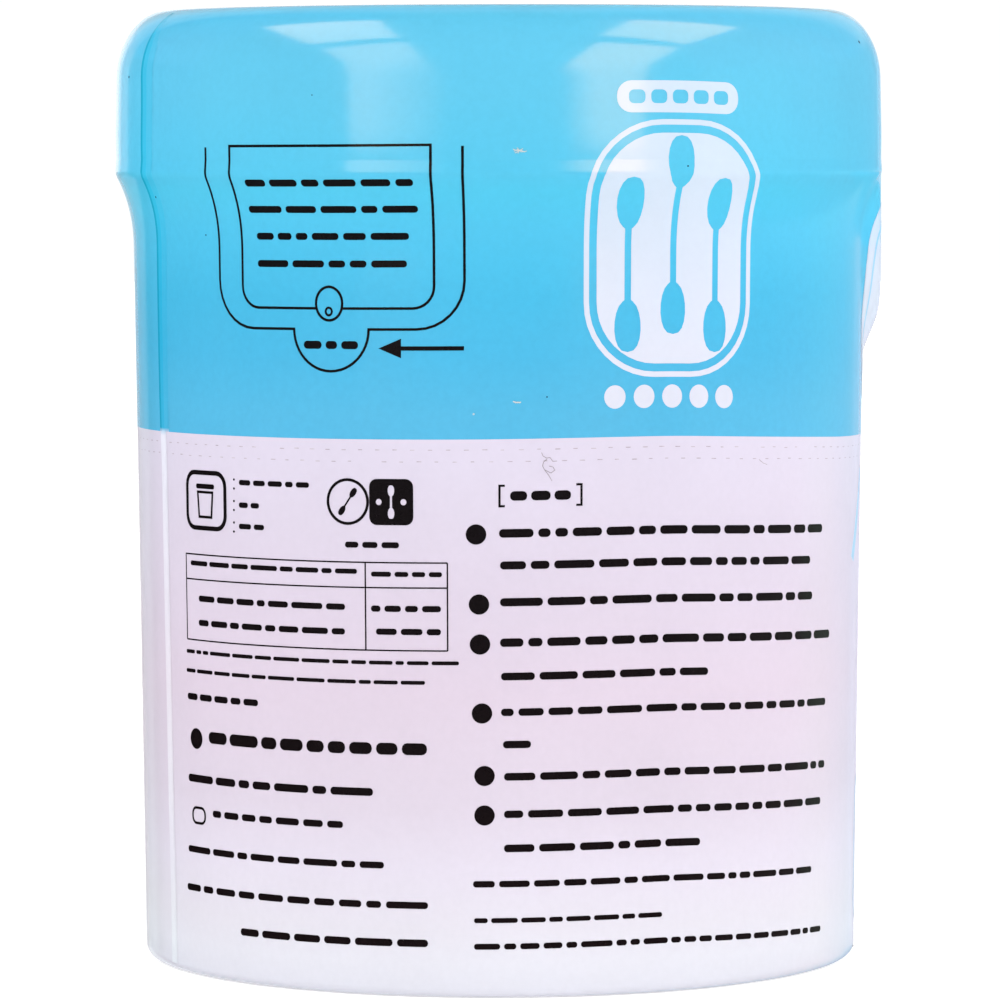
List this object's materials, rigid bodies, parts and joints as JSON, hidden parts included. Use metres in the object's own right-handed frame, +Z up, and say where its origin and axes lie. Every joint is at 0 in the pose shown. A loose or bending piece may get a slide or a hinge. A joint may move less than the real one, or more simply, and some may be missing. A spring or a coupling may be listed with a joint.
{
  "type": "cotton swab tub",
  "caption": "Sealed round tub of paper-shaft cotton swabs: drafted container and wider skirted lid with a front push flap, all under one tight printed shrink film.",
  "frame": {"origin": "middle of the base ring that the tub stands on", "axes": "+Z up along the tub's axis; the label panel shown in the picture faces -Y; the lid's front flap lies 135 degrees round from it, between +X and +Y"},
  "size_m": [0.0716, 0.0716, 0.088],
  "materials": {
    "printed_film": "tight glossy shrink film, sky blue above and pale lilac below, with dark brown print",
    "white_plastic": "satin moulded white plastic of the lid top and the base, seen inside the film's open ends"
  },
  "bodies": {
    "root": {"sealed_tub": "printed_film"}
  },
  "joints": []
}
